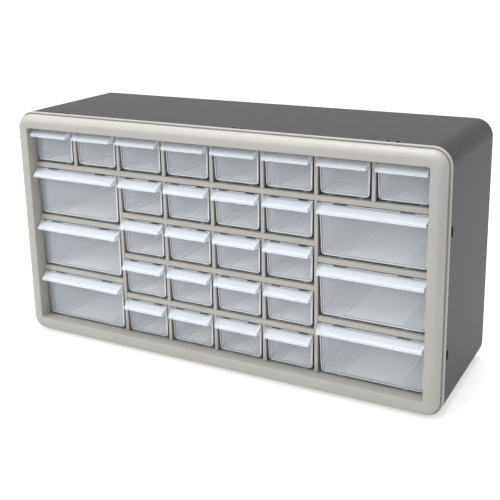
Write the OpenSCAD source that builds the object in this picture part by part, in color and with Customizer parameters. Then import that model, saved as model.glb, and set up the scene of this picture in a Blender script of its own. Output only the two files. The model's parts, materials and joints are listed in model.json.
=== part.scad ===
// Parts bin cabinet: a moulded housing, a front frame that snaps into its
// mouth, a grid of shelves and dividers, and clear drawers that slide in it.
// X runs across the front, Y from front to back and Z up. The origin is the
// middle of the footprint, on the surface that the cabinet stands on.

/* [Cabinet] */
// Overall width, across the front frame
cabinet_w = 500; // [440:1:600]
// Overall height
cabinet_h = 264; // [240:1:340]
// Overall depth, from the frame's face to the back of the housing
cabinet_d = 160; // [130:1:240]
// Radius of the four long outer edges
edge_r = 18; // [14:0.5:22]

/* [Housing] */
// Thickness of the top, base and side walls
housing_wall = 2.5; // [1.6:0.1:3.2]
// Thickness of the back wall
back_wall = 3; // [2:0.1:4]
// Distance between the two wall-hanging keyholes
keyhole_spacing = 400; // [200:1:420]
// Depth of the keyholes below the top face
keyhole_drop = 48; // [30:1:80]
// Radius of a keyhole's round entry, which a screw head passes
keyhole_head_r = 4.5; // [3.5:0.1:6]
// Half the width of a keyhole's slot, which holds the screw's neck
keyhole_neck_r = 2.2; // [1.6:0.1:2.6]
// Length of the slot above the entry's centre
keyhole_slot_l = 10; // [8:0.5:16]

/* [Snap latches] */
// Width of the springy tongue between its two slits
tongue_w = 7.5; // [6:0.5:12]
// Width of each slit
slit_w = 2.2; // [0.8:0.1:3]
// Length of the slits, back from the housing's front edge
slit_l = 7; // [6.5:0.5:14]
// Height of the tongue's hook and length of its foot
hook_h = 1; // [0.6:0.1:1.2]
hook_l = 2; // [1:0.1:3]
// Height and length of the windows in the side walls, which hold the side barbs
side_window_h = 9.4; // [6:0.1:12]
side_window_l = 5; // [5:0.1:7]

/* [Front frame] */
// Width of the frame's face at each side
side_band_w = 17.2; // [15:0.1:22]
// Width of the frame's face along the top
top_band_w = 17; // [15:0.1:22]
// Width of the frame's face along the base
base_band_w = 18; // [15:0.1:22]
// How far the frame stands in front of the housing
frame_proud = 13.5; // [13.2:0.1:18]
// Depth of the recess, from the frame's face to the grid
recess_d = 12.6; // [11.6:0.1:16]
// Radius of the rolled outer edge
roll_r = 8.5; // [5:0.5:9]
// Thickness of the frame's skin and of the recess walls
frame_wall = 2.2; // [1.6:0.1:2.8]
// Radius of the opening's corners
opening_r = 2.5; // [1:0.1:3]
// Thickness of the flange that seats on the housing
flange_t = 3.4; // [2.4:0.1:3.4]
// How far the flange stands out past the rolled edge
flange_w = 2.4; // [1.6:0.1:3.2]
// Width and depth of the groove in the flange, at the foot of the roll
groove_w = 0.8; // [0.4:0.1:1]
groove_depth = 0.8; // [0.4:0.1:1.2]
// Reach and thickness of the sleeve that enters the housing
sleeve_l = 9; // [6:0.5:12]
sleeve_t = 2; // [1.4:0.1:2.6]
// Gap between the sleeve and the housing's inner walls
sleeve_gap = 1.5; // [1.3:0.1:2]

/* [Drawer grid] */
// Columns of small drawers in the middle block
centre_columns = 4; // [2:1:5]
// Rows of small drawers in the middle block
centre_rows = 4; // [2:1:5]
// Rows of large drawers in each side block
side_rows = 3; // [1:1:4]
// Columns that one large drawer spans
large_span = 2; // [1:1:3]
// Width of a divider's front bead
divider_bead_w = 3.9; // [2.8:0.1:5]
// Depth of a divider's front bead
divider_bead_l = 3; // [2:0.1:5]
// Thickness of a divider behind its bead
divider_web_t = 1.8; // [1.2:0.1:2.4]
// Height of a shelf's front edge
shelf_edge_h = 5.8; // [4.6:0.1:7]
// Thickness of a shelf behind its edge
shelf_t = 2; // [1.4:0.1:2.4]
// Thickness of the edge, front to back
lip_t = 2.4; // [1.6:0.1:3]
// Gap between the back of the grid and the housing's back wall
grid_back_gap = 0.4; // [0.2:0.1:2]
// Width and length of the long window in each side shelf
window_w = 28; // [16:1:40]
window_l = 84; // [50:1:90]
// Thickness of the ribs that carry the lowest shelf
support_rib_t = 2; // [1.4:0.1:3]
// Gap under those ribs
support_rib_gap = 0.2; // [0.1:0.05:0.4]

/* [Drawers] */
// Gap at each side of a drawer's top
drawer_side_gap = 1.2; // [0.8:0.1:2]
// Gap above a drawer
drawer_top_gap = 1; // [0.7:0.1:1.6]
// Gap behind a drawer
drawer_back_gap = 5; // [2:0.5:12]
// Thickness of the sides, floor and back
drawer_wall = 1.5; // [1:0.1:2]
// Thickness of the front at its top
drawer_front_t = 2.6; // [2.2:0.1:3.4]
// How far the front leans back from its top to its foot
drawer_lean = 1.2; // [0.4:0.1:1.4]
// Radius of the lower corners
drawer_corner_r = 4; // [2.5:0.1:6]
// Height of the two runners under a drawer
runner_h = 2.2; // [1.6:0.1:3]
// Width of a runner
runner_w = 4; // [2.5:0.1:6]
// How far the runners start behind the foot of the drawer's front
runner_inset = 2; // [0.5:0.1:6]
// Gap between the runners and the shelf
runner_gap = 0.3; // [0.2:0.05:0.5]
// Width of the shallow rim notches of a small and of a large drawer
small_notch_w = 10; // [6:0.5:14]
large_notch_w = 14; // [8:0.5:20]
// Depth of the rim notches
notch_h = 1; // [0.5:0.1:1.2]
// Length and height of the stop nubs on the rims
nub_l = 4; // [2.5:0.1:6]
nub_h = 2.4; // [2:0.1:2.8]
// Length of drawer that stays in the cabinet when it is drawn out
drawer_held_l = 30; // [24:1:40]
// Play between the stop nubs and the shelf's edge at full draw
stop_gap = 0.4; // [0.2:0.1:1]

/* [Drawer pulls] */
// How far a pull reaches in front of its drawer
pull_reach = 10; // [6:0.1:10.5]
// Height of the pull's cheeks where they meet the drawer
pull_h = 9.2; // [8:0.1:14]
// Fall of the pull's top towards the rim
pull_fall = 6.2; // [2:0.1:7]
// How much narrower the pull is at its rim, on each side
pull_taper = 1.5; // [0.5:0.1:2.5]
// Height and thickness of the pull's front rim
rim_h = 2.8; // [1.6:0.1:4]
rim_t = 1.6; // [1:0.1:2.4]
// Thickness of the cheeks and of the sloping top
cheek_t = 1.5; // [1:0.1:2.2]
pull_top_t = 1.5; // [1:0.1:2]
// Height of the raised border round the sloping top
border_h = 0.6; // [0.3:0.1:0.9]

/* [Hidden] */
$fn = 48;
// Overrun of every cut
cut = 1;
// Draft of the drawers' sides, as width lost per height
drawer_draft_share = 0.03;
// Distance of a runner from the drawer's edge, as a share of its width
runner_share = 0.19;
// Places of the snap latches, as shares of the width and of the height
latch_x_shares = [-0.384, 0.061, 0.384];
latch_z_shares = [0.24, 0.7];
// Places of the ribs under the lowest shelf, as shares of its width
support_rib_shares = [-0.4, -0.2, 0, 0.2, 0.4];

// Planes from front to back
face_y = -cabinet_d / 2;
back_y = cabinet_d / 2;
grid_y = face_y + recess_d;
housing_y = face_y + frame_proud;
back_inner_y = back_y - back_wall;
grid_back_y = back_inner_y - grid_back_gap;
drawer_back_y = back_inner_y - drawer_back_gap;
lip_back_y = grid_y + lip_t;
sleeve_back_y = housing_y + sleeve_l;

// The opening that holds the grid
open_w = cabinet_w - 2 * side_band_w;
open_z0 = base_band_w;
open_z1 = cabinet_h - top_band_w;
open_h = open_z1 - open_z0;

// Cells of the grid
columns = centre_columns + 2 * large_span;
pitch_x = (open_w + divider_bead_w) / columns;
small_cell_w = pitch_x - divider_bead_w;
large_cell_w = large_span * pitch_x - divider_bead_w;
small_cell_h = (open_h - centre_rows * shelf_edge_h) / (centre_rows + 1);
small_pitch_z = small_cell_h + shelf_edge_h;
block_h = open_h - small_pitch_z;
large_cell_h = (block_h - (side_rows - 1) * shelf_edge_h) / side_rows;
large_pitch_z = large_cell_h + shelf_edge_h;
long_shelf_z = open_z1 - small_cell_h;
// How far a divider's web rises behind the edge of the shelf above it
web_rise = shelf_edge_h - shelf_t;
// Front of the windows in the side shelves, which lie midway along them
window_y = (lip_back_y + grid_back_y - window_l) / 2;

// Snap latches: the frame's barbs catch behind the tongues' hooks, and at the
// sides behind the front edges of the windows
barb_h = sleeve_gap - stop_gap / 2;
barb_l = 3 * hook_l / 2;
barb_y = housing_y + hook_l + stop_gap;
barb_w = tongue_w - slit_w;
side_barb_h = sleeve_gap + housing_wall / 2;
side_barb_w = side_window_h / 2;
sleeve_u = housing_wall + sleeve_gap;

// Drawers
nub_y = drawer_back_y - drawer_held_l;
drawer_travel = nub_y - lip_back_y - stop_gap;
nub_w = 2 * drawer_wall;
draft_angle = atan(drawer_draft_share);

function column_x(c) = (c - (columns - 1) / 2) * pitch_x;
function divider_x(k) = (k - columns / 2) * pitch_x;
function side_x(s) = s * (columns - large_span) / 2 * pitch_x;

// Names and cells of the drawers: rows count from the top, columns from the left
top_cells = [for (c = [0 : columns - 1])
    [str("drawer_top_", c + 1), column_x(c), long_shelf_z]];
centre_cells = [for (r = [1 : centre_rows], c = [0 : centre_columns - 1])
    [str("drawer_row_", r + 1, "_", large_span + c + 1), column_x(large_span + c),
     open_z0 + (centre_rows - r) * small_pitch_z]];
large_cells = [for (s = [-1, 1], r = [1 : side_rows])
    [str("large_drawer_", s < 0 ? "left_" : "right_", r), side_x(s),
     open_z0 + (side_rows - r) * large_pitch_z]];
small_cells = concat(top_cells, centre_cells);

charcoal = [0.40, 0.40, 0.41];
warm_grey = [0.80, 0.79, 0.76];
clear_plastic = [0.75, 0.80, 0.86, 0.75];

// Extrudes a front view, drawn in X and Z, from one depth to another
module front_view(y0, y1) {
    translate([0, y1, 0]) rotate([90, 0, 0]) linear_extrude(y1 - y0) children();
}

// Extrudes a side view, drawn in Y and Z, from one side to the other
module side_view(x0, x1) {
    translate([x0, 0, 0]) rotate([90, 0, 90]) linear_extrude(x1 - x0) children();
}

// Extrudes a back view, drawn in X and Y, upwards
module plan_view(z0, z1) {
    translate([0, 0, z0]) linear_extrude(z1 - z0) children();
}

// The cabinet's outline in the front view, drawn in by u on every side
module outline(u) {
    w = cabinet_w - 2 * u;
    h = cabinet_h - 2 * u;
    r = edge_r - u;
    translate([0, cabinet_h / 2]) {
        square([w - 2 * r, h], center = true);
        square([w, h - 2 * r], center = true);
        for (x = [-1, 1], z = [-1, 1])
            translate([x * (w / 2 - r), z * (h / 2 - r)]) circle(r);
    }
}

// The opening's outline in the front view, grown by g on every side
module opening(g) {
    r = opening_r + g;
    translate([0, open_z0 + open_h / 2]) {
        square([open_w + 2 * g - 2 * r, open_h + 2 * g], center = true);
        square([open_w + 2 * g, open_h + 2 * g - 2 * r], center = true);
        for (x = [-1, 1], z = [-1, 1])
            translate([x * (open_w / 2 + g - r), z * (open_h / 2 + g - r)]) circle(r);
    }
}

// Places children, drawn for the top edge at X 0, at the latches of the top and base
module at_latches() {
    for (s = latch_x_shares) {
        translate([s * cabinet_w, 0, cabinet_h]) children();
        translate([s * cabinet_w, 0, 0]) mirror([0, 0, 1]) children();
    }
}

// Places children, drawn in the same way, at the latches of the side walls
module at_side_latches() {
    for (s = latch_z_shares, x = [-1, 1])
        translate([x * cabinet_w / 2, 0, s * cabinet_h]) rotate([0, x * 90, 0]) children();
}

// Housing: a five-sided shell with snap tongues and windows at its mouth, and
// keyholes in its back
module housing() color(charcoal) difference() {
    union() {
        difference() {
            front_view(housing_y, back_y) outline(0);
            front_view(housing_y - cut, back_inner_y) outline(housing_wall);
        }
        at_latches() tongue_hook();
    }
    at_latches() tongue_slits(housing_y - cut, housing_y + slit_l, housing_wall);
    at_side_latches() snap_window();
    for (x = [-1, 1]) translate([x * keyhole_spacing / 2, 0, cabinet_h - keyhole_drop]) keyhole();
}

module tongue_hook() {
    translate([-barb_w / 2, housing_y, -housing_wall - hook_h])
        cube([barb_w, hook_l, hook_h + housing_wall / 2]);
}

// The two slits beside a tongue, from one depth to another, through all that
// lies less than u under the outer skin
module tongue_slits(y0, y1, u) {
    for (x = [-1, 1])
        translate([x * (tongue_w + slit_w) / 2 - slit_w / 2, y0, -u - cut])
            cube([slit_w, y1 - y0, u + 2 * cut]);
}

module snap_window() {
    translate([-side_window_h / 2, housing_y + hook_l, -housing_wall - cut])
        cube([side_window_h, side_window_l, housing_wall + 2 * cut]);
}

module keyhole() {
    front_view(back_inner_y - cut, back_y + cut) {
        circle(keyhole_head_r);
        translate([0, keyhole_slot_l]) circle(keyhole_neck_r);
        translate([-keyhole_neck_r, 0]) square([2 * keyhole_neck_r, keyhole_slot_l]);
    }
}

// Half section of the frame's rolled edge: the distance out of the corner's
// axis, then the distance towards the front
module roll_section(r, roll, front) {
    intersection() {
        translate([0, -housing_y]) square([r, front + housing_y]);
        union() {
            translate([r - roll, front - roll]) circle(roll);
            translate([0, -housing_y]) square([r - roll, front + housing_y]);
            translate([0, -housing_y]) square([r, front + housing_y - roll]);
        }
    }
}

// A block with the frame's rolled edge, drawn in by u from the outer skin
module rolled_block(u) {
    r = edge_r - flange_w - u;
    side = cabinet_w / 2 - edge_r;
    rise = cabinet_h / 2 - edge_r;
    translate([0, 0, cabinet_h / 2]) rotate([90, 0, 0]) {
        for (x = [-1, 1], z = [-1, 1])
            translate([x * side, z * rise, 0])
                rotate_extrude() roll_section(r, roll_r - u, -face_y - u);
        for (turn = [0, 180]) rotate([0, 0, turn]) {
            translate([side, rise, 0]) rotate([90, 0, 0])
                linear_extrude(2 * rise) roll_section(r, roll_r - u, -face_y - u);
            translate([-side, rise, 0]) rotate([90, 0, 90])
                linear_extrude(2 * side) roll_section(r, roll_r - u, -face_y - u);
        }
        translate([-side, -rise, -housing_y])
            cube([2 * side, 2 * rise, frame_proud - u]);
    }
}

// Front frame: a hollow rolled border, its flange, the recess walls and the sleeve
module front_frame() color(warm_grey) difference() {
    union() {
        difference() {
            union() {
                rolled_block(0);
                frame_flange();
            }
            intersection() {
                rolled_block(frame_wall);
                front_view(face_y, housing_y - flange_t) outline(0);
            }
            front_view(housing_y - flange_t - cut, housing_y + cut) outline(sleeve_u + sleeve_t);
        }
        front_view(face_y + frame_wall / 2, grid_y) opening(frame_wall);
        translate([-open_w / 2, grid_y - lip_t, open_z1])
            cube([open_w, 2 * lip_t, frame_wall]);
        difference() {
            front_view(housing_y - flange_t / 2, sleeve_back_y) outline(sleeve_u);
            front_view(housing_y - flange_t, sleeve_back_y + cut) outline(sleeve_u + sleeve_t);
        }
        at_latches() frame_barb(barb_w, barb_h);
        at_side_latches() frame_barb(side_barb_w, side_barb_h);
    }
    at_latches() tongue_slits(housing_y, sleeve_back_y + cut, sleeve_u + sleeve_t);
    front_view(face_y - cut, grid_y + cut) opening(0);
}

// The flange: a plate with a shallow pocket, which the rolled block fills but
// for the groove
module frame_flange() difference() {
    front_view(housing_y - flange_t, housing_y) outline(0);
    front_view(housing_y - flange_t - cut, housing_y - flange_t + groove_depth)
        outline(flange_w - groove_w);
}

// A wedge on the sleeve that catches behind a tongue's hook or in a window
module frame_barb(w, h) {
    side_view(-w / 2, w / 2)
        polygon([
            [barb_y, -sleeve_u - sleeve_t / 2],
            [barb_y, -sleeve_u + h],
            [barb_y + barb_l, -sleeve_u],
            [barb_y + barb_l, -sleeve_u - sleeve_t / 2]
        ]);
}

// Lowest shelf
module base_shelf() color(warm_grey)
    translate([-open_w / 2, grid_y, open_z0 - frame_wall])
        cube([open_w, grid_back_y - grid_y, frame_wall]);

// Ribs under the lowest shelf, which carry it on the housing's base
module base_ribs() color(warm_grey) {
    rib_y = sleeve_back_y + sleeve_gap;
    rib_z = housing_wall + support_rib_gap;
    for (s = support_rib_shares)
        translate([s * open_w - support_rib_t / 2, rib_y, rib_z])
            cube([support_rib_t, grid_back_y - rib_y, open_z0 - frame_wall - rib_z]);
}

// The grid's two outer walls
module end_panels() color(warm_grey) {
    for (x = [-1, 1])
        translate([x * (open_w + frame_wall) / 2 - frame_wall / 2, grid_y, open_z0 - frame_wall])
            cube([frame_wall, grid_back_y - grid_y, open_h + frame_wall]);
}

// A shelf whose top is at z, with its front edge hanging below it
module shelf(x, w, z) {
    translate([x, 0, z]) side_view(-w / 2, w / 2)
        polygon([
            [grid_y, 0],
            [grid_back_y, 0],
            [grid_back_y, -shelf_t],
            [lip_back_y, -shelf_t],
            [lip_back_y, -shelf_edge_h],
            [grid_y, -shelf_edge_h]
        ]);
}

// The strip of a shelf behind the dividers' beads, which reaches their webs
module shelf_strip(x0, x1, z)
    translate([x0, grid_y + divider_bead_l, z - shelf_t])
        cube([x1 - x0, grid_back_y - grid_y - divider_bead_l, shelf_t]);

// An upright divider: a wider front bead and a thin web, which rises behind
// the edge of the shelf above it by the given rise
module divider(x, z, h, rise) {
    translate([x, 0, z]) {
        plan_view(0, h) translate([-divider_bead_w / 2, grid_y])
            square([divider_bead_w, divider_bead_l]);
        side_view(-divider_web_t / 2, divider_web_t / 2)
            polygon([
                [grid_y, 0],
                [grid_back_y, 0],
                [grid_back_y, h + rise],
                [lip_back_y, h + rise],
                [lip_back_y, h],
                [grid_y, h]
            ]);
    }
}

// The full-width shelf under the top row
module long_shelf() color(warm_grey) shelf(0, open_w, long_shelf_z);

module top_dividers() color(warm_grey)
    for (k = [1 : columns - 1]) divider(divider_x(k), long_shelf_z, small_cell_h, 0);

// The two dividers between the middle block and the side blocks
module tall_dividers() color(warm_grey)
    for (k = [large_span, columns - large_span])
        divider(divider_x(k), open_z0, block_h, web_rise);

// Shelves between the large drawers, each with a long window in its middle
module side_shelves() color(warm_grey)
    for (s = [-1, 1], r = [1 : side_rows - 1]) {
        z = open_z0 + r * large_pitch_z;
        web_x = s * (centre_columns * pitch_x + divider_web_t) / 2;
        difference() {
            union() {
                shelf(side_x(s), large_cell_w, z);
                shelf_strip(min(side_x(s), web_x), max(side_x(s), web_x), z);
            }
            translate([side_x(s) - window_w / 2, window_y, z - shelf_t - cut])
                cube([window_w, window_l, shelf_t + 2 * cut]);
        }
    }

// Shelves of the middle block
module centre_shelves() color(warm_grey)
    for (r = [1 : centre_rows - 1]) {
        z = open_z0 + r * small_pitch_z;
        web_x = (centre_columns * pitch_x - divider_web_t) / 2;
        shelf(0, centre_columns * pitch_x - divider_bead_w, z);
        shelf_strip(-web_x, web_x, z);
    }

module centre_dividers() color(warm_grey)
    for (r = [0 : centre_rows - 1], k = [large_span + 1 : columns - large_span - 1])
        divider(divider_x(k), open_z0 + r * small_pitch_z, small_cell_h, web_rise);

// Front view of a drawer's tub: drafted sides and round lower corners
module tub_outline(bottom_half_w, h, r) {
    centre_x = bottom_half_w + r * drawer_draft_share - r / cos(draft_angle);
    side_x = centre_x + r * cos(draft_angle);
    side_z = r - r * sin(draft_angle);
    top_x = bottom_half_w + h * drawer_draft_share;
    polygon([
        [-centre_x, 0], [centre_x, 0], [side_x, side_z],
        [top_x, h], [-top_x, h], [-side_x, side_z]
    ]);
    for (x = [-1, 1]) translate([x * centre_x, r]) circle(r);
}

// A drawer for a cell whose floor is at z 0 and whose middle is at X 0
module drawer(cell_w, cell_h, notch_w) {
    top_half_w = cell_w / 2 - drawer_side_gap;
    floor_z = runner_gap + runner_h;
    top_z = cell_h - drawer_top_gap;
    tub_h = top_z - floor_z;
    bottom_half_w = top_half_w - tub_h * drawer_draft_share;
    inner_half_w = bottom_half_w + drawer_wall * drawer_draft_share - drawer_wall / cos(draft_angle);
    runner_x = bottom_half_w * (1 - 2 * runner_share);
    runner_y = grid_y + drawer_lean + runner_inset;
    difference() {
        union() {
            difference() {
                translate([0, 0, floor_z]) front_view(grid_y, drawer_back_y)
                    tub_outline(bottom_half_w, tub_h, drawer_corner_r);
                translate([0, 0, floor_z + drawer_wall])
                    front_view(grid_y + drawer_front_t, drawer_back_y - drawer_wall)
                        tub_outline(inner_half_w, tub_h, drawer_corner_r - drawer_wall);
                drawer_lean_cut(top_half_w + cut, floor_z, top_z);
            }
            for (x = [-1, 1]) {
                translate([x * runner_x - runner_w / 2, runner_y, runner_gap])
                    cube([runner_w, drawer_back_y - runner_y, runner_h + drawer_wall / 2]);
                translate([x * (top_half_w - nub_w / 2) - nub_w / 2, nub_y, top_z - nub_h])
                    cube([nub_w, nub_l, 2 * nub_h]);
            }
            pull(top_half_w, tub_h, top_z);
        }
        for (x = [-1, 1])
            translate([x * runner_x - notch_w / 2, grid_y - drawer_wall, top_z - notch_h])
                cube([notch_w, drawer_front_t + drawer_wall + cut, notch_h + cut]);
    }
}

// Takes the front down to a plane that leans back towards its foot
module drawer_lean_cut(half_w, floor_z, top_z) {
    side_view(-half_w, half_w)
        polygon([
            [grid_y, top_z],
            [grid_y + drawer_lean, floor_z],
            [grid_y + drawer_lean, floor_z - cut],
            [grid_y - cut, floor_z - cut],
            [grid_y - cut, top_z]
        ]);
}

// A full-width awning: two cheeks, a sloping top with a raised border and a
// front rim, open below for the fingers
module pull(half_w, tub_h, top_z) {
    slope = pull_fall / pull_reach;
    inner_reach = pull_reach - rim_t;
    under = border_h + pull_top_t;
    foot_lean = drawer_lean * pull_h / tub_h;
    root = drawer_front_t / 4;
    low = max(pull_h, pull_fall + rim_h) + cut;
    function at(reach, down) = [grid_y - reach, top_z - down];
    difference() {
        pull_view(half_w, top_z - low, top_z)
            polygon([
                at(-root, 0), at(0, 0), at(pull_reach, pull_fall),
                at(pull_reach, pull_fall + rim_h), at(0, pull_h),
                at(-root - foot_lean, pull_h)
            ]);
        pull_view(half_w - cheek_t, top_z - low, top_z)
            polygon([
                at(0, under), at(inner_reach, under + slope * inner_reach),
                at(inner_reach, low), at(-foot_lean, low), at(-foot_lean, pull_h)
            ]);
        pull_view(half_w - cheek_t, top_z - low, top_z + cut)
            polygon([
                at(0, border_h), at(inner_reach, border_h + slope * inner_reach),
                at(inner_reach, -cut), at(0, -cut)
            ]);
    }
}

// Extrudes a side view of the pull, narrowed from the drawer's front to the rim
module pull_view(half_w, z0, z1) {
    rim_half_w = half_w - pull_taper;
    root_y = grid_y + drawer_front_t;
    intersection() {
        side_view(-half_w, half_w) children();
        plan_view(z0, z1)
            polygon([
                [-half_w, root_y], [-half_w, grid_y], [-rim_half_w, grid_y - pull_reach],
                [rim_half_w, grid_y - pull_reach], [half_w, grid_y], [half_w, root_y]
            ]);
    }
}

module small_drawer(cell) color(clear_plastic)
    translate([cell[1], 0, cell[2]]) drawer(small_cell_w, small_cell_h, small_notch_w);

module large_drawer(cell) color(clear_plastic)
    translate([cell[1], 0, cell[2]]) drawer(large_cell_w, large_cell_h, large_notch_w);

housing();
front_frame();
base_shelf();
base_ribs();
end_panels();
long_shelf();
top_dividers();
tall_dividers();
side_shelves();
centre_shelves();
centre_dividers();
for (cell = small_cells)
    small_drawer(cell);
for (cell = large_cells)
    large_drawer(cell);
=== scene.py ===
import json
import math

import bmesh
import bpy
from mathutils import Matrix, Vector


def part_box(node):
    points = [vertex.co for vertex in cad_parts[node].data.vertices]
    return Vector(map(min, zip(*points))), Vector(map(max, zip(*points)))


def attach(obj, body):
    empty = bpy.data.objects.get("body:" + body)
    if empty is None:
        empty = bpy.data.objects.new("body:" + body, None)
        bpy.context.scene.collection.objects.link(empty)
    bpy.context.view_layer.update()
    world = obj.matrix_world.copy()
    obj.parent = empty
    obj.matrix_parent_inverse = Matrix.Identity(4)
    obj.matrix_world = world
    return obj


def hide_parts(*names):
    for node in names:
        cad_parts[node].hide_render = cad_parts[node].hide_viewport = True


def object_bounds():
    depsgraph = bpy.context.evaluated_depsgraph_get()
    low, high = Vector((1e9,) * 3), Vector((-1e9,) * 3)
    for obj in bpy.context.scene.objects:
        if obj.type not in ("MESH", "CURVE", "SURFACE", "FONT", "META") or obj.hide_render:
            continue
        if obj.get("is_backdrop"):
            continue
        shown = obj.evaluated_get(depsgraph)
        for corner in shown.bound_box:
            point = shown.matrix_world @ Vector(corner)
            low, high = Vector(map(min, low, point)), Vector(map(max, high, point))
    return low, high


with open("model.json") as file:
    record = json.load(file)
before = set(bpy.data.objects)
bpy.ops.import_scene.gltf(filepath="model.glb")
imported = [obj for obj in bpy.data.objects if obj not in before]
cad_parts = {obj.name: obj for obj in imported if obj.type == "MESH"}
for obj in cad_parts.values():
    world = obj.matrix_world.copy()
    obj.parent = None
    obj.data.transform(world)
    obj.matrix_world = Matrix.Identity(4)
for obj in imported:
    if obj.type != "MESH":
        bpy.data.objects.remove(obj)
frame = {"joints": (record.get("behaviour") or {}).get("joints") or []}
cad_low, cad_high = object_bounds()


# Housing
# The shell behind the frame: one charcoal moulding with a fine matt grain and
# rounded long edges. Slit pairs at its mouth free the snap tongues, windows in
# the sides hold the frame's barbs, and two keyholes hang it on a wall.
housing_low, housing_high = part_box("housing")
edge_r = 0.018
housing_wall = 0.0025
back_wall = 0.003
housing_fillet = 0.0007
slit_w = 0.0022
slit_l = 0.007
tongue_w = 0.0075
latch_xs = [share * (cad_high.x - cad_low.x) for share in (-0.384, 0.061, 0.384)]
slit_xs = [x + side * (tongue_w + slit_w) / 2 for x in latch_xs for side in (-1, 1)]
side_latch_zs = [share * (cad_high.z - cad_low.z) for share in (0.24, 0.70)]
side_window_h = 0.0094
side_window_l = 0.005
hook_l = 0.002
keyhole_spacing = 0.400
keyhole_drop = 0.048
keyhole_head_r = 0.0045
keyhole_neck_r = 0.0022
keyhole_slot_l = 0.010
keyhole_head_steps = 32
keyhole_neck_steps = 12
skin_share = 0.1
cut = 0.001


def rounded_outline(a0, a1, b0, b1, r, steps=10):
    """Points of a rectangle with round corners, anticlockwise from its lower right corner."""
    corners = ((a1 - r, b0 + r, -90), (a1 - r, b1 - r, 0),
               (a0 + r, b1 - r, 90), (a0 + r, b0 + r, 180))
    points = []
    for a, b, start in corners:
        for k in range(steps + 1):
            angle = math.radians(start + 90 * k / steps)
            points.append((a + r * math.cos(angle), b + r * math.sin(angle)))
    return points


def loft(bm, loops, closed=False):
    """Joins loops of equally many points with quads; closed joins the last loop to the first."""
    rings = [[bm.verts.new(p) for p in loop] for loop in loops]
    pairs = list(zip(rings, rings[1:] + rings[:1])) if closed else list(zip(rings, rings[1:]))
    for one, two in pairs:
        for k in range(len(one)):
            n = (k + 1) % len(one)
            bm.faces.new((one[k], one[n], two[n], two[k]))
    return rings


def mesh_object(name, bm):
    """A new object at the origin from a finished bmesh, with its faces pointing outwards."""
    bmesh.ops.remove_doubles(bm, verts=bm.verts, dist=1e-6)
    bmesh.ops.recalc_face_normals(bm, faces=bm.faces)
    mesh = bpy.data.meshes.new(name)
    bm.to_mesh(mesh)
    bm.free()
    obj = bpy.data.objects.new(name, mesh)
    bpy.context.scene.collection.objects.link(obj)
    return obj


def made_plain(obj):
    """Turns an object's modifiers into plain mesh."""
    depsgraph = bpy.context.evaluated_depsgraph_get()
    mesh = bpy.data.meshes.new_from_object(obj.evaluated_get(depsgraph))
    old = obj.data
    obj.modifiers.clear()
    obj.data = mesh
    mesh.name = obj.name
    bpy.data.meshes.remove(old)
    return obj


def combined(obj, others, operation):
    """Unites others with obj, or cuts them from it, and removes them."""
    for other in others:
        step = obj.modifiers.new("step", "BOOLEAN")
        step.operation = operation
        step.solver = "EXACT"
        step.object = other
    made_plain(obj)
    for other in others:
        bpy.data.objects.remove(other)
    return obj


def smoothed(obj, angle=35):
    """Smooth shading that keeps creases sharper than the angle, with flats left flat."""
    obj.data.shade_smooth()
    obj.data.set_sharp_from_angle(angle=math.radians(angle))
    weighted = obj.modifiers.new("weighted", "WEIGHTED_NORMAL")
    weighted.keep_sharp = True
    return made_plain(obj)


def box_prism(name, low, high, bevel=0.0):
    """A box between two corners, with bevelled edges if asked."""
    bm = bmesh.new()
    bmesh.ops.create_cube(bm, size=1)
    size = Vector(high) - Vector(low)
    middle = (Vector(high) + Vector(low)) / 2
    bmesh.ops.transform(bm, verts=bm.verts, matrix=Matrix.LocRotScale(middle, None, size))
    if bevel:
        bmesh.ops.bevel(bm, geom=bm.edges, offset=bevel, segments=2, profile=0.5, affect="EDGES")
    return mesh_object(name, bm)


def front_ring(inset, y):
    """The cabinet's outline in front view, drawn in by the inset, at a depth."""
    outline = rounded_outline(cad_low.x + inset, cad_high.x - inset, cad_low.z + inset,
                              cad_high.z - inset, edge_r - inset)
    return [(x, y, z) for x, z in outline]


bm = bmesh.new()
mouth_y, back_y = housing_low.y, housing_high.y
arc = [math.radians(a) for a in (0, 30, 60, 90)]
shell = [front_ring(housing_fillet / 2, mouth_y)]
shell += [front_ring(0, mouth_y + housing_fillet / 2)]
shell += [front_ring(housing_fillet * (1 - math.cos(a)),
                     back_y - housing_fillet * (1 - math.sin(a))) for a in arc]
inner = [front_ring(housing_wall, back_y - back_wall), front_ring(housing_wall, mouth_y)]
rings = loft(bm, shell)
bm.faces.new(rings[-1])
inner_rings = loft(bm, inner)
bm.faces.new(inner_rings[0])
loft(bm, [inner[-1], shell[0]])
housing = mesh_object("housing_shell", bm)

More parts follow.
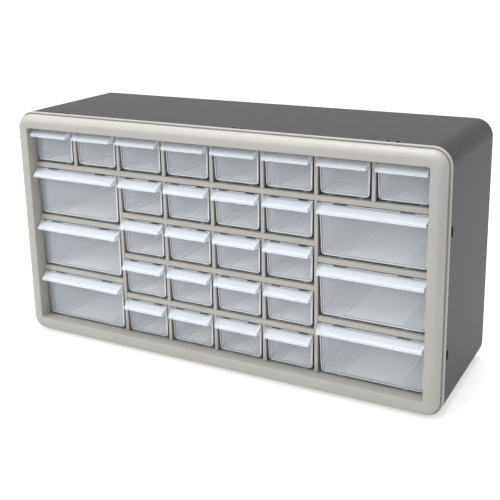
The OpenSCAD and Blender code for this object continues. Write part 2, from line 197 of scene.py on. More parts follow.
cutters = []
for x in slit_xs:
    for z in (cad_high.z, cad_low.z):
        cutters.append(box_prism("slit", (x - slit_w / 2, mouth_y - cut, z - housing_wall - cut),
                                 (x + slit_w / 2, mouth_y + slit_l, z + housing_wall + cut)))
for z in side_latch_zs:
    for x in (cad_low.x, cad_high.x):
        window_low = (x - housing_wall - cut, mouth_y + hook_l, z - side_window_h / 2)
        window_high = (x + housing_wall + cut, mouth_y + hook_l + side_window_l,
                       z + side_window_h / 2)
        cutters.append(box_prism("window", window_low, window_high))
neck_angle = math.asin(keyhole_neck_r / keyhole_head_r)
head_angle = 2 * math.pi - 2 * neck_angle
for side in (-1, 1):
    x, z = side * keyhole_spacing / 2, cad_high.z - keyhole_drop
    outline = []
    for k in range(keyhole_head_steps + 1):
        angle = math.pi / 2 + neck_angle + head_angle * k / keyhole_head_steps
        outline.append((x + keyhole_head_r * math.cos(angle), z + keyhole_head_r * math.sin(angle)))
    for k in range(keyhole_neck_steps + 1):
        angle = math.pi * k / keyhole_neck_steps
        outline.append((x + keyhole_neck_r * math.cos(angle),
                        z + keyhole_slot_l + keyhole_neck_r * math.sin(angle)))
    bm = bmesh.new()
    rings = loft(bm, [[(a, y, b) for a, b in outline]
                      for y in (back_y - back_wall - cut, back_y + cut)])
    bm.faces.new(rings[0])
    bm.faces.new(rings[1])
    cutters.append(mesh_object("keyhole", bm))
combined(housing, cutters, "DIFFERENCE")


def node_material(name):
    """A new material: its node tree, its shader, and the piece's own coordinates."""
    material = bpy.data.materials.new(name)
    material.use_nodes = True
    tree = material.node_tree
    shader = tree.nodes["Principled BSDF"]
    coordinates = tree.nodes.new("ShaderNodeTexCoord").outputs["Object"]
    return material, tree, shader, coordinates


def noise(tree, coordinates, scale, detail=2, roughness=0.5):
    """A noise pattern of the given grains per metre."""
    node = tree.nodes.new("ShaderNodeTexNoise")
    node.inputs["Scale"].default_value = scale
    node.inputs["Detail"].default_value = detail
    node.inputs["Roughness"].default_value = roughness
    tree.links.new(coordinates, node.inputs["Vector"])
    return node.outputs["Fac"]


def spread(tree, value, low, high):
    """A noise pattern's value, mostly between 0.3 and 0.7, stretched between two numbers."""
    node = tree.nodes.new("ShaderNodeMapRange")
    node.inputs["From Min"].default_value = 0.3
    node.inputs["From Max"].default_value = 0.7
    node.inputs["To Min"].default_value = low
    node.inputs["To Max"].default_value = high
    tree.links.new(value, node.inputs["Value"])
    return node.outputs["Result"]


def blended(tree, factor, one, two):
    """A colour between two, by a pattern."""
    node = tree.nodes.new("ShaderNodeMix")
    node.data_type = "RGBA"
    node.inputs["A"].default_value = (*one, 1)
    node.inputs["B"].default_value = (*two, 1)
    tree.links.new(factor, node.inputs["Factor"])
    return node.outputs["Result"]


def bumped(tree, shader, height, strength, distance):
    """Fine relief on a shader, from a pattern's height in metres."""
    node = tree.nodes.new("ShaderNodeBump")
    node.inputs["Strength"].default_value = strength
    node.inputs["Distance"].default_value = distance
    tree.links.new(height, node.inputs["Height"])
    tree.links.new(node.outputs["Normal"], shader.inputs["Normal"])


charcoal, tree, shader, coordinates = node_material("charcoal_plastic")
darker, lighter = (0.010, 0.010, 0.0105), (0.014, 0.014, 0.0145)
grain = noise(tree, coordinates, scale=900, detail=3, roughness=0.6)
cloud = noise(tree, coordinates, scale=60, detail=3)
tree.links.new(blended(tree, spread(tree, cloud, low=0.2, high=0.8), darker, lighter),
               shader.inputs["Base Color"])
shader.inputs["Specular IOR Level"].default_value = 0.29
tree.links.new(spread(tree, grain, low=0.42, high=0.54), shader.inputs["Roughness"])
bumped(tree, shader, grain, strength=0.4, distance=0.0002)

# Painted shade for the slit walls: a near-black colour where the slits lie in shadow.
painted_slit_shade, tree, shader, coordinates = node_material("painted_slit_shade_black")
darker, lighter = (0.002, 0.002, 0.002), (0.004, 0.004, 0.004)
tree.links.new(blended(tree, noise(tree, coordinates, scale=300), darker, lighter),
               shader.inputs["Base Color"])
shader.inputs["Roughness"].default_value = 0.9
shader.inputs["Specular IOR Level"].default_value = 0.1

for material in (charcoal, painted_slit_shade):
    housing.data.materials.append(material)
smoothed(housing)
# The cut edges of the wall in the slits carry painted shade, near black, from just under the skin
# on.
for face in housing.data.polygons:
    x, y, z = face.center
    below_skin = min(cad_high.x - abs(x), z - cad_low.z, cad_high.z - z)
    in_slit = mouth_y + cut / 2 < y < mouth_y + slit_l + cut
    in_wall = skin_share * housing_wall < below_skin < (1 - skin_share) * housing_wall
    if in_slit and in_wall:
        face.material_index = 1
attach(housing, "cabinet")
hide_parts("housing")


# Front frame
# A warm light-grey moulding that snaps into the housing's mouth: a hollow
# border with a rolled outer edge, a groove and a flange behind it, the walls
# of the deep recess, and a sleeve with barbs that catch behind the tongues.
frame_low, frame_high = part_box("front_frame")
base_low, base_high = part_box("base_shelf")
face_y, grid_y = frame_low.y, base_low.y
sleeve_back_y = frame_high.y
frame_wall = 0.0022
opening_r = 0.0025
roll_r = 0.0085
roll_steps = 10
flange_t = 0.0034
flange_w = 0.0024
flange_fillet = 0.0006
groove_w = groove_depth = 0.0008
sleeve_gap = 0.0015
sleeve_t = 0.002
barb_gap = 0.0004
barb_l = 0.003
barb_h = side_window_h / 2
lip_t = 0.0024
inner_fillet = 0.0010
crease = 0.0002
opening_x = base_high.x
opening_z0 = base_high.z
opening_z1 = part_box("end_panels")[1].z


def opening_ring(grow, y):
    """The opening's outline in front view, grown outwards, at a depth."""
    outline = rounded_outline(-opening_x - grow, opening_x + grow, opening_z0 - grow,
                              opening_z1 + grow, opening_r + grow)
    return [(x, y, z) for x, z in outline]


def softened(bm, offset, sharper_than=40):
    """Rounds a bmesh's edges that are sharper than the angle."""
    edges = [e for e in bm.edges if len(e.link_faces) == 2
             and math.degrees(e.calc_face_angle()) > sharper_than]
    bmesh.ops.bevel(bm, geom=edges, offset=offset, segments=2, profile=0.5, affect="EDGES",
                    clamp_overlap=True)


def prism(name, points, low, high, along, bevel=0.0):
    """A closed outline extruded along X, from Y and Z, or along Z, from X and Y."""
    place = {"X": lambda p, d: (d, p[0], p[1]), "Z": lambda p, d: (p[0], p[1], d)}[along]
    bm = bmesh.new()
    rings = loft(bm, [[place(p, d) for p in points] for d in (low, high)])
    bm.faces.new(rings[0])
    bm.faces.new(rings[1])
    bmesh.ops.recalc_face_normals(bm, faces=bm.faces)
    if bevel:
        softened(bm, bevel)
    return mesh_object(name, bm)


flange_y = mouth_y - flange_t
sleeve_inset = housing_wall + sleeve_gap
roll_arc = [math.radians(90 * k / roll_steps) for k in range(roll_steps + 1)]
# The border's section: over the rolled edge, the groove and the flange, along the sleeve and
# back, through the hollow inside, and round the recess wall to the front again.
section = [front_ring(flange_w + roll_r * (1 - math.sin(a)), face_y + roll_r * (1 - math.cos(a)))
           for a in roll_arc]
section += [front_ring(flange_w, flange_y + groove_depth)]
section += [front_ring(flange_w - groove_w, flange_y + groove_depth)]
section += [front_ring(flange_w - groove_w, flange_y + crease)]
section += [front_ring(flange_w - groove_w - crease, flange_y)]
section += [front_ring(flange_fillet * (1 - math.sin(a)),
                       flange_y + flange_fillet * (1 - math.cos(a))) for a in arc]
section += [front_ring(0, mouth_y - crease), front_ring(crease, mouth_y)]
section += [front_ring(sleeve_inset, mouth_y), front_ring(sleeve_inset, sleeve_back_y)]
section += [front_ring(sleeve_inset + sleeve_t, sleeve_back_y)]
section += [front_ring(sleeve_inset + sleeve_t, flange_y)]
section += [front_ring(flange_w + frame_wall, flange_y)]
section += [front_ring(flange_w + frame_wall, face_y + roll_r)]
section += [front_ring(flange_w + roll_r - (roll_r - frame_wall) * math.sin(a),
                       face_y + roll_r - (roll_r - frame_wall) * math.cos(a))
            for a in roll_arc[-3:0:-2]]
section += [opening_ring(frame_wall, face_y + frame_wall), opening_ring(frame_wall, grid_y)]
section += [opening_ring(0, grid_y)]
section += [opening_ring(inner_fillet * (1 - math.cos(a)),
                         face_y + inner_fillet * (1 - math.sin(a))) for a in arc]
bm = bmesh.new()
loft(bm, section, closed=True)
border = mesh_object("front_frame_border", bm)
lip = box_prism("lip", (-opening_x, grid_y - lip_t, opening_z1 + crease),
                (opening_x, grid_y + lip_t, opening_z1 + frame_wall - crease))
combined(border, [lip], "UNION")
cutters = []
for x in slit_xs:
    for z in (cad_high.z - sleeve_inset - sleeve_t / 2, cad_low.z + sleeve_inset + sleeve_t / 2):
        cutters.append(box_prism("sleeve_slit", (x - slit_w / 2, mouth_y + crease, z - sleeve_t),
                                 (x + slit_w / 2, sleeve_back_y + cut, z + sleeve_t)))
combined(border, cutters, "DIFFERENCE")
skin_x = cad_high.x - sleeve_inset
tip_x = skin_x + sleeve_gap + housing_wall / 2
barb_y = mouth_y + hook_l + barb_gap
hook = ((skin_x - sleeve_t / 2, barb_y), (tip_x, barb_y), (skin_x, barb_y + barb_l),
        (skin_x - sleeve_t / 2, barb_y + barb_l))
barbs = []
for z in side_latch_zs:
    for side in (-1, 1):
        outline = [(side * x, y) for x, y in hook]
        barbs.append(prism("barb", outline, z - barb_h / 2, z + barb_h / 2, "Z"))
combined(border, barbs, "UNION")

warm_grey, tree, shader, coordinates = node_material("warm_grey_plastic")
darker, lighter = (0.300, 0.290, 0.268), (0.320, 0.310, 0.288)
grain = noise(tree, coordinates, scale=1600, detail=2)
cloud = noise(tree, coordinates, scale=25, detail=3)
tree.links.new(blended(tree, spread(tree, cloud, low=0.1, high=0.9), darker, lighter),
               shader.inputs["Base Color"])
tree.links.new(spread(tree, grain, low=0.46, high=0.58), shader.inputs["Roughness"])
bumped(tree, shader, grain, strength=0.15, distance=0.0001)
border.data.materials.append(warm_grey)
smoothed(border)
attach(border, "cabinet")
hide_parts("front_frame")


# Shelves and dividers
# The grid behind the frame, in the same plastic. Shelves are thin plates with
# a deeper front edge, dividers thin webs with a wider front bead, and all the
# front corners are slightly rounded. The side shelves have a long window.
grid_fillet = 0.0006
shelf_t = 0.002
shelf_edge_h = 0.0058
bead_w = 0.0039
bead_l = 0.003
web_t = 0.0018
window_w = 0.028
window_l = 0.084
grid_back_y = base_high.y


def shelf(name, x0, x1, z, left=0, right=0):
    """A shelf from x0 to x1 with its top at z; behind the beads it reaches further to each side."""
    outline = ((grid_y, z), (grid_back_y, z), (grid_back_y, z - shelf_t),
               (grid_y + lip_t, z - shelf_t), (grid_y + lip_t, z - shelf_edge_h),
               (grid_y, z - shelf_edge_h))
    obj = prism(name, outline, x0, x1, "X", grid_fillet)
    if left or right:
        strip = box_prism("strip", (x0 - left, grid_y + bead_l, z - shelf_t + crease),
                          (x1 + right, grid_back_y - crease, z - crease))
        combined(obj, [strip], "UNION")
    return obj


def divider(name, x, z0, z1, rise):
    """A divider at x, from z0 to z1, whose web rises further behind the shelf's edge above it."""
    bead = box_prism(name, (x - bead_w / 2, grid_y, z0),
                     (x + bead_w / 2, grid_y + bead_l, z1), grid_fillet)
    web = ((grid_y + bead_l / 2, z0 + crease), (grid_back_y, z0), (grid_back_y, z1 + rise),
           (grid_y + lip_t, z1 + rise), (grid_y + lip_t, z1 - crease),
           (grid_y + bead_l / 2, z1 - crease))
    web = prism("web", web, x - web_t / 2, x + web_t / 2, "X")
    return combined(bead, [web], "UNION")


def repeat_tree():
    """A node tree that repeats a piece across and upwards at even steps."""
    tree = bpy.data.node_groups.new("repeat_piece", "GeometryNodeTree")
    face = tree.interface
    face.new_socket("Piece", in_out="INPUT", socket_type="NodeSocketGeometry")
    for name, kind in (("Across", "NodeSocketInt"), ("Step across", "NodeSocketFloat"),
                       ("Up", "NodeSocketInt"), ("Step up", "NodeSocketFloat"),
                       ("Material", "NodeSocketMaterial")):
        face.new_socket(name, in_out="INPUT", socket_type=kind)
    face.new_socket("Pieces", in_out="OUTPUT", socket_type="NodeSocketGeometry")
    given = tree.nodes.new("NodeGroupInput").outputs
    made = given["Piece"]
    for count, step, axis in (("Across", "Step across", "X"), ("Up", "Step up", "Z")):
        offset = tree.nodes.new("ShaderNodeCombineXYZ")
        tree.links.new(given[step], offset.inputs[axis])
        line = tree.nodes.new("GeometryNodeMeshLine")
        tree.links.new(given[count], line.inputs["Count"])
        tree.links.new(offset.outputs["Vector"], line.inputs["Offset"])
        copies = tree.nodes.new("GeometryNodeInstanceOnPoints")
        tree.links.new(line.outputs["Mesh"], copies.inputs["Points"])
        tree.links.new(made, copies.inputs["Instance"])
        made = copies.outputs["Instances"]
    real = tree.nodes.new("GeometryNodeRealizeInstances")
    tree.links.new(made, real.inputs["Geometry"])
    painted = tree.nodes.new("GeometryNodeSetMaterial")
    tree.links.new(real.outputs["Geometry"], painted.inputs["Geometry"])
    tree.links.new(given["Material"], painted.inputs["Material"])
    out = tree.nodes.new("NodeGroupOutput")
    tree.links.new(painted.outputs["Geometry"], out.inputs["Pieces"])
    return tree


repeated = repeat_tree()


def repeat(obj, material, across=1, step_across=0.0, up=1, step_up=0.0):
    """Repeats an object's mesh with the tree and leaves a plain mesh."""
    modifier = obj.modifiers.new("repeat", "NODES")
    modifier.node_group = repeated
    keys = {s.name: s.identifier for s in repeated.interface.items_tree if s.in_out == "INPUT"}
    modifier[keys["Across"]] = across
    modifier[keys["Step across"]] = step_across
    modifier[keys["Up"]] = up
    modifier[keys["Step up"]] = step_up
    modifier[keys["Material"]] = material
    return made_plain(obj)


def grid_piece(obj, node):
    """Finishes a piece of the grid that stands for a CAD node."""
    smoothed(obj)
    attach(obj, "cabinet")
    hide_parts(node)


columns = 8
large_span = 2
centre_columns = columns - 2 * large_span
side_rows = 3
centre_rows = 4
pitch_x = (2 * opening_x + bead_w) / columns
long_shelf_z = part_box("long_shelf")[1].z
small_cell_h = opening_z1 - long_shelf_z
small_step = small_cell_h + shelf_edge_h
block_z1 = long_shelf_z - shelf_edge_h
large_cell_h = (block_z1 - opening_z0 - (side_rows - 1) * shelf_edge_h) / side_rows
large_step = large_cell_h + shelf_edge_h

base = box_prism("base_shelf_plate", (-opening_x, grid_y, opening_z0 - frame_wall),
                 (opening_x, grid_back_y, opening_z0), grid_fillet)
repeat(base, warm_grey)
grid_piece(base, "base_shelf")

rib_t = 0.002
rib_count = 5
ribs_low, ribs_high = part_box("base_ribs")
rib = box_prism("base_rib_plates", ribs_low, (ribs_low.x + rib_t, ribs_high.y, ribs_high.z),
                grid_fillet / 2)
repeat(rib, warm_grey, across=rib_count,
       step_across=(ribs_high.x - ribs_low.x - rib_t) / (rib_count - 1))
grid_piece(rib, "base_ribs")

panel = box_prism("end_panel_plates", (-opening_x - frame_wall, grid_y, opening_z0 - frame_wall),
                  (-opening_x, grid_back_y, opening_z1), grid_fillet / 2)
repeat(panel, warm_grey, across=2, step_across=2 * opening_x + frame_wall)
grid_piece(panel, "end_panels")

long_shelf = shelf("long_shelf_plate", -opening_x, opening_x, long_shelf_z)
repeat(long_shelf, warm_grey)
grid_piece(long_shelf, "long_shelf")

web_rise = shelf_edge_h - shelf_t
upper = divider("top_divider_plates", (1 - columns / 2) * pitch_x, long_shelf_z, opening_z1,
                rise=0)
repeat(upper, warm_grey, across=columns - 1, step_across=pitch_x)
grid_piece(upper, "top_dividers")

tall = divider("tall_divider_plates", (large_span - columns / 2) * pitch_x, opening_z0,
               block_z1, web_rise)
repeat(tall, warm_grey, across=2, step_across=centre_columns * pitch_x)
grid_piece(tall, "tall_dividers")

side_x = (columns - large_span) / 2 * pitch_x
side_inner_x = side_x - (large_span * pitch_x - bead_w) / 2
behind_bead = (bead_w - web_t) / 2
first_z = opening_z0 + large_step
window_y = (grid_y + lip_t + grid_back_y - window_l) / 2
window_r = 0.003
plates = []
for side in (-1, 1):
    ends = sorted((side * opening_x, side * side_inner_x))
    reach = (behind_bead, 0) if side > 0 else (0, behind_bead)
    plate = shelf("side_shelf_plates", *ends, first_z, *reach)
    outline = rounded_outline(side * side_x - window_w / 2, side * side_x + window_w / 2, window_y,
                              window_y + window_l, window_r, steps=4)
    window = prism("window", outline, first_z - shelf_t - cut, first_z + cut, "Z")
    plates.append(combined(plate, [window], "DIFFERENCE"))
combined(plates[0], plates[1:], "UNION")
repeat(plates[0], warm_grey, up=side_rows - 1, step_up=large_step)
grid_piece(plates[0], "side_shelves")

half_block = (centre_columns * pitch_x - bead_w) / 2
centre = shelf("centre_shelf_plates", -half_block, half_block, opening_z0 + small_step,
               behind_bead, behind_bead)
repeat(centre, warm_grey, up=centre_rows - 1, step_up=small_step)
grid_piece(centre, "centre_shelves")

lower = divider("centre_divider_plates", (large_span + 1 - columns / 2) * pitch_x, opening_z0,
                opening_z0 + small_cell_h, web_rise)
repeat(lower, warm_grey, across=centre_columns - 1, step_across=pitch_x,
       up=centre_rows, step_up=small_step)
grid_piece(lower, "centre_dividers")


# Drawers
# Clear, faintly blue mouldings with a full-width awning of a pull, two runners
# underneath and two stop nubs on the rims. The light their polished edges gather
# is a white painted highlight, and their floors and walls carry painted light and
# shade. Small and large ones differ in size, each on its own slide.
drawer_wall = 0.0015
drawer_front_t = 0.0026
drawer_lean = 0.0012
draft_share = 0.03
drawer_corner_r = 0.004
front_fillet = 0.0012
upright_r = 0.0014
rim_fillet = 0.0004
runner_gap = 0.0003
runner_h = 0.0022
runner_w = 0.004
runner_inset = 0.002
runner_share = 0.19
side_gap = 0.0012
top_gap = 0.001
nub_l = 0.004
nub_h = 0.0024
held_l = 0.030
notch_h = 0.001
small_notch_w = 0.010
large_notch_w = 0.014
pull_reach = 0.010
pull_h = 0.0092
pull_fall = 0.0062
pull_taper = 0.0015
rim_h = 0.0028
rim_t = 0.0016
cheek_t = 0.0015
pull_top_t = 0.0015
border_h = 0.0006
pull_fillet = 0.00035
groove_h = 0.0004
channel_side = 0.0008
panel_h = 0.0001
corner_band = 0.0045
edge_width = 0.0006
drawer_back_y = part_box("drawer_top_1")[1].y


def drawn_in(z, r):
    """How far a round lower edge of radius r stands in from its wall at height z."""
    return 0 if z >= r else r - math.sqrt(r * r - (r - z) ** 2)


def tub(cell_w, cell_h):
    """An open box for a cell with its middle at X 0 and its floor at Z 0, all edges rounded."""
    foot = runner_gap + runner_h
    h = cell_h - top_gap - foot
    bottom_half = cell_w / 2 - side_gap - h * draft_share

    def banded(sides, r, z):
        """A level ring with a point more on each side, which ends the corner's band."""
        points = rounded_outline(*sides, r, steps=5)
        band_y = grid_y + drawer_front_t + r + corner_band
        points.insert(len(points) // 4, (sides[1], band_y))
        points.insert(3 * (len(points) - 1) // 4 + 1, (sides[0], band_y))
        return [(x, y, z) for x, y in points]

    def outer_ring(z, inset):
        """The outside at height z, drawn in by the inset."""
        half = bottom_half + z * draft_share - drawn_in(z, drawer_corner_r) - inset
        front = grid_y + drawer_lean * (1 - z / h) + drawn_in(z, front_fillet) + inset
        back = drawer_back_y - drawn_in(z, front_fillet) - inset
        return banded([-half, half, front, back], upright_r - inset, foot + z)

    def inner_ring(z, outset):
        """The inside at height z, widened by the outset."""
        floor_z = z - drawer_wall
        half = bottom_half + z * draft_share - drawer_wall
        half -= drawn_in(floor_z, drawer_corner_r - drawer_wall)
        front = grid_y + drawer_front_t + drawn_in(floor_z, front_fillet)
        back = drawer_back_y - drawer_wall - drawn_in(floor_z, front_fillet)
        sides = [-half - outset, half + outset, front - outset, back + outset]
        return banded(sides, upright_r + outset, foot + z)

    def heights(big, small):
        """The heights of the rings that follow two lower edges of different radius."""
        steps = {r * (1 - math.cos(math.radians(a)))
                 for r in (big, small) for a in range(0, 91, 18)}
        return sorted(steps)

    loops = [outer_ring(z, 0) for z in heights(drawer_corner_r, front_fillet)]
    loops += [outer_ring(h - rim_fillet * (1 - math.sin(a)), rim_fillet * (1 - math.cos(a)))
              for a in arc]
    loops += [inner_ring(h - rim_fillet * (1 - math.sin(a)), rim_fillet * (1 - math.cos(a)))
              for a in reversed(arc)]
    loops += [inner_ring(drawer_wall + z, 0)
              for z in reversed(heights(drawer_corner_r - drawer_wall, front_fillet))]
    bm = bmesh.new()
    rings = loft(bm, loops)
    bm.faces.new(rings[0])
    bm.faces.new(rings[-1])
    return mesh_object("tub", bm), bottom_half, foot, h


def channel(x, floor_z):
    """The cutter for a shallow channel with sloped sides in the floor, over a runner."""
    bm = bmesh.new()
    y0, y1 = grid_y + drawer_front_t + cut, drawer_back_y - drawer_wall - cut
    loops = [[(x - half, y0, z), (x + half, y0, z), (x + half, y1, z), (x - half, y1, z)]
             for half, z in ((runner_w / 2 - channel_side, floor_z - groove_h),
                             (runner_w / 2, floor_z), (runner_w / 2, floor_z + drawer_wall))]
    rings = loft(bm, loops)
    bm.faces.new(rings[0])
    bm.faces.new(rings[-1])
    return mesh_object("channel", bm)


def drawer_shape(name, cell_w, cell_h, notch_w):
    """A whole drawer for a cell, as one closed mesh."""
    obj, bottom_half, foot, tub_h = tub(cell_w, cell_h)
    obj.name = name
    top_z = foot + tub_h
    half = cell_w / 2 - side_gap
    slope = pull_fall / pull_reach
    inner_reach = pull_reach - rim_t
    root = drawer_front_t / 2
    under = border_h + pull_top_t

    def at(reach, down):
        """A point of the pull's section, so far out from the front and down from the top."""
        return grid_y - reach, top_z - down

    awning = prism("awning", (
        at(-root, border_h), at(inner_reach, border_h + slope * inner_reach),
        at(inner_reach, slope * inner_reach), at(pull_reach, pull_fall),
        at(pull_reach, pull_fall + rim_h), at(inner_reach, pull_fall + rim_h),
        at(inner_reach, under + slope * inner_reach), at(-root, under)),
        -half + cheek_t / 2, half - cheek_t / 2, "X", pull_fillet)
    parts = [awning]
    for side in (-1, 1):
        cheek_x = sorted((side * half, side * (half - cheek_t)))
        cheek = (at(-root, 0), at(0, 0), at(pull_reach, pull_fall),
                 at(pull_reach, pull_fall + rim_h), at(0, pull_h), at(-root - drawer_lean, pull_h))
        parts.append(prism("cheek", cheek, *cheek_x, "X", pull_fillet))
    for piece in parts:
        for vertex in piece.data.vertices:
            reach = max(0, grid_y - vertex.co.y)
            vertex.co.x -= math.copysign(pull_taper * reach / pull_reach, vertex.co.x)
    for side in (-1, 1):
        runner_x = side * bottom_half * (1 - 2 * runner_share)
        runner_y = grid_y + drawer_lean + runner_inset
        parts.append(box_prism("runner", (runner_x - runner_w / 2, runner_y, runner_gap),
                               (runner_x + runner_w / 2, drawer_back_y - front_fillet,
                                foot + drawer_wall / 2), pull_fillet))
        nub_x = side * (half - drawer_wall)
        nub_y = drawer_back_y - held_l
        parts.append(box_prism("nub", (nub_x - drawer_wall, nub_y, top_z - nub_h),
                               (nub_x + drawer_wall, nub_y + nub_l, top_z + nub_h), pull_fillet))
    combined(obj, parts, "UNION")
    cuts = []
    for side in (-1, 1):
        runner_x = side * bottom_half * (1 - 2 * runner_share)
        notch_y = grid_y + drawer_front_t + cut
        cuts.append(box_prism("notch",
                              (runner_x - notch_w / 2, grid_y - drawer_wall, top_z - notch_h),
                              (runner_x + notch_w / 2, notch_y, top_z + cut)))
        cuts.append(channel(runner_x, foot + drawer_wall))
    panel_half = bottom_half * (1 - 2 * runner_share) - runner_w
    panel_y0, panel_y1 = grid_y + drawer_front_t + 2 * cut, drawer_back_y - drawer_wall - 2 * cut
    cuts.append(box_prism("panel", (-panel_half, panel_y0, foot + drawer_wall - panel_h),
                          (panel_half, panel_y1, foot + 2 * drawer_wall)))
    return combined(obj, cuts, "DIFFERENCE")


# The colour and opacity of each look. The white edge and line looks are painted
# highlight and the near-white panel is a painted pool of light; the dark corner is
# painted shade, and the wall is the plastic's faint blue darkened by painted shade.
looks = {"corner": (0.08, 0.12, 0.20, 0.70),
         "wall": (0.50, 0.60, 0.73, 0.46),
         "front": (0.88, 0.92, 0.97, 0.19),
         "floor": (0.78, 0.86, 0.95, 0.75),
         "panel": (0.99, 0.98, 0.97, 0.95),
         "runner": (0.60, 0.66, 0.74, 0.20),
         "pull": (0.80, 0.845, 0.90, 0.38),
         "rim": (0.82, 0.87, 0.93, 0.32),
         "edge": (0.96, 0.98, 1.0, 0.46),
         "line": (0.98, 0.98, 0.97, 0.95),
         "back": (0.92, 0.96, 1.0, 0.85)}
# A face looks along an axis from this share of its normal on, and the sloped sides of the
# floor's channels lie between two such shares.
facing = 0.9
line_slope = (0.4, 0.95)
# The walls and the floor carry painted shade close behind the front, up to this share of the depth.
shade_at_front = 0.74
shade_reach = 0.6


def look_of(face):
    """Which look a drawer's face has, from where it is, which way it faces and how thin it is."""
    floor_z = runner_gap + runner_h + drawer_wall
    width = face.calc_area() / max(e.calc_length() for e in face.edges)
    middle = face.calc_center_median()
    outward = face.normal.x * middle.x > -crease and face.normal.y < -0.5 and face.normal.z < crease
    at_top = middle.z > 2 * drawer_corner_r and face.normal.z > 0
    # Thin outer edges and the pull's thin edges get the white of painted highlight.
    if width < edge_width and (outward or at_top or middle.y < grid_y - pull_fillet):
        return "edge"
    if middle.y < grid_y - pull_fillet:
        at_rim = middle.y < grid_y - pull_reach + rim_t and face.normal.z < 0.3
        return "rim" if at_rim else "pull"
    if middle.z < floor_z - drawer_wall - pull_fillet and abs(face.normal.z) < 0.5:
        return "runner"
    # The channels' sloped sides get a white painted highlight.
    if line_slope[0] < abs(face.normal.z) < line_slope[1] and abs(middle.z - floor_z) < groove_h:
        return "line"
    # The floor panel between the runners gets a near-white painted pool of light.
    if abs(face.normal.z) > facing and middle.z < floor_z + crease:
        return "panel" if abs(middle.z - floor_z + panel_h) < panel_h / 2 else "floor"
    if abs(face.normal.y) > facing and middle.y < grid_y + drawer_front_t + crease:
        return "front"
    # The walls close behind the front get the dark painted shade of the corner look.
    if abs(face.normal.x) > 0.5 and middle.y < grid_y + drawer_front_t + corner_band:
        return "corner"
    if abs(face.normal.y) > facing:
        return "back"
    # The rest of the walls: the plastic's faint blue, darkened by painted shade.
    return "wall"


def mark_looks(mesh):
    """Gives each face the place of its look in the table of looks."""
    bm = bmesh.new()
    bm.from_mesh(mesh)
    layer = bm.faces.layers.float.new("look")
    for face in bm.faces:
        face[layer] = (list(looks).index(look_of(face)) + 0.5) / len(looks)
    bm.to_mesh(mesh)
    bm.free()


clear, tree, shader, coordinates = node_material("clear_plastic")
flow = noise(tree, coordinates, scale=40, detail=2)
look = tree.nodes.new("ShaderNodeAttribute")
look.attribute_name = "look"
table = tree.nodes.new("ShaderNodeValToRGB")
table.color_ramp.interpolation = "CONSTANT"
stops = table.color_ramp.elements
while len(stops) < len(looks):
    stops.new(0.5)
for k, colour in enumerate(looks.values()):
    stops[k].position = k / len(looks)
    stops[k].color = colour
tree.links.new(look.outputs["Fac"], table.inputs["Fac"])
# Painted shade that darkens the walls and the floor close behind the front; the front and the pull
# keep their colour.
depth = tree.nodes.new("ShaderNodeSeparateXYZ")
tree.links.new(coordinates, depth.inputs["Vector"])
inside = tree.nodes.new("ShaderNodeMapRange")
inside.inputs["From Min"].default_value = grid_y + drawer_front_t
inside.inputs["From Max"].default_value = grid_y + shade_reach * (drawer_back_y - grid_y)
inside.inputs["To Min"].default_value = shade_at_front
inside.inputs["To Max"].default_value = 1.0
tree.links.new(depth.outputs["Y"], inside.inputs["Value"])
behind = tree.nodes.new("ShaderNodeMath")
behind.operation = "LESS_THAN"
behind.inputs[1].default_value = grid_y + drawer_front_t - crease
tree.links.new(depth.outputs["Y"], behind.inputs[0])
share = tree.nodes.new("ShaderNodeMath")
share.operation = "MAXIMUM"
tree.links.new(inside.outputs["Result"], share.inputs[0])
tree.links.new(behind.outputs["Value"], share.inputs[1])
shaded = tree.nodes.new("ShaderNodeVectorMath")
shaded.operation = "SCALE"
tree.links.new(table.outputs["Color"], shaded.inputs[0])
tree.links.new(share.outputs["Value"], shaded.inputs["Scale"])
tree.links.new(shaded.outputs["Vector"], shader.inputs["Base Color"])
tree.links.new(table.outputs["Alpha"], shader.inputs["Alpha"])
tree.links.new(spread(tree, flow, low=0.10, high=0.18), shader.inputs["Roughness"])
shader.inputs["IOR"].default_value = 1.49

small_cell_w = pitch_x - bead_w
large_cell_w = large_span * pitch_x - bead_w
shapes = {"small": drawer_shape("small", small_cell_w, small_cell_h, small_notch_w),
          "large": drawer_shape("large", large_cell_w, large_cell_h, large_notch_w)}
for shape in shapes.values():
    shape.data.materials.clear()
    shape.data.materials.append(clear)
    smoothed(shape)
    mark_looks(shape.data)

for joint in frame["joints"]:
    body = joint["child"]
    low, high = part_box(body)
    shape = shapes["large" if high.x - low.x > pitch_x else "small"]
    mesh = shape.data.copy()
    mesh.transform(Matrix.Translation(((low.x + high.x) / 2, 0, low.z - runner_gap)))
    piece = bpy.data.objects.new(body + "_moulding", mesh)
    mesh.name = piece.name
    bpy.context.scene.collection.objects.link(piece)
    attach(piece, body)
    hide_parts(body)
for shape in shapes.values():
    bpy.data.objects.remove(shape)


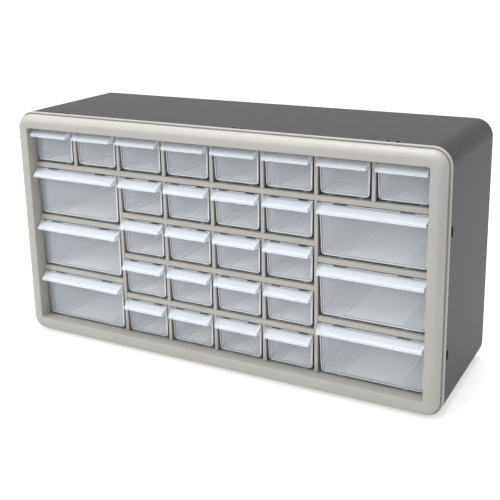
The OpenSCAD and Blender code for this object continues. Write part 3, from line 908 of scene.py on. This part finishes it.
# Setting
# A plain pale floor that runs out of sight under a white sky, soft light from
# above and from the front left, and the camera at the photograph's angle.
floor_size = 60.0
bm = bmesh.new()
bmesh.ops.create_grid(bm, x_segments=1, y_segments=1, size=floor_size / 2)
floor = mesh_object("floor", bm)
pale, tree, shader, coordinates = node_material("pale_floor")
darker, lighter = (0.49, 0.49, 0.49), (0.51, 0.51, 0.51)
tree.links.new(blended(tree, noise(tree, coordinates, scale=3, detail=2), darker, lighter),
               shader.inputs["Base Color"])
shader.inputs["Roughness"].default_value = 0.8
shader.inputs["Emission Color"].default_value = (1, 1, 1, 1)
shader.inputs["Emission Strength"].default_value = 0.52
floor.data.materials.append(pale)
floor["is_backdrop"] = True

world = bpy.data.worlds.new("studio")
world.use_nodes = True
world.node_tree.nodes["Background"].inputs["Color"].default_value = (1, 1, 1, 1)
world.node_tree.nodes["Background"].inputs["Strength"].default_value = 1.0
bpy.context.scene.world = world
bpy.context.scene.view_settings.view_transform = "Standard"


def soft_light(name, place, target, size, power):
    """A square area light that faces a point."""
    data = bpy.data.lights.new(name, "AREA")
    data.size = size
    data.energy = power
    light = bpy.data.objects.new(name, data)
    bpy.context.scene.collection.objects.link(light)
    light.location = place
    light.rotation_euler = (Vector(target) - Vector(place)).to_track_quat("-Z", "Y").to_euler()


middle = (0, 0, 0.13)
soft_light("overhead", (0.0, -0.1, 1.6), middle, size=0.9, power=25)
soft_light("front", (-1.0, -1.2, 1.25), middle, size=0.5, power=14)

focal_px = 881
frame_px = 500
camera_place = (0.4529, -0.8164, 0.4337)
yaw, pitch, roll = -28.55, -14.83, -1.14
camera_data = bpy.data.cameras.new("camera")
camera_data.sensor_width = 36
camera_data.lens = camera_data.sensor_width * focal_px / frame_px
camera_data.shift_y = -0.13
camera = bpy.data.objects.new("camera", camera_data)
bpy.context.scene.collection.objects.link(camera)
turn = Matrix.Rotation(math.radians(-yaw), 4, "Z")
tilt = Matrix.Rotation(math.radians(90 + pitch), 4, "X")
lean = Matrix.Rotation(math.radians(roll), 4, "Z")
camera.matrix_world = Matrix.Translation(camera_place) @ (turn @ tilt) @ lean
bpy.context.scene.camera = camera

low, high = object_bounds()
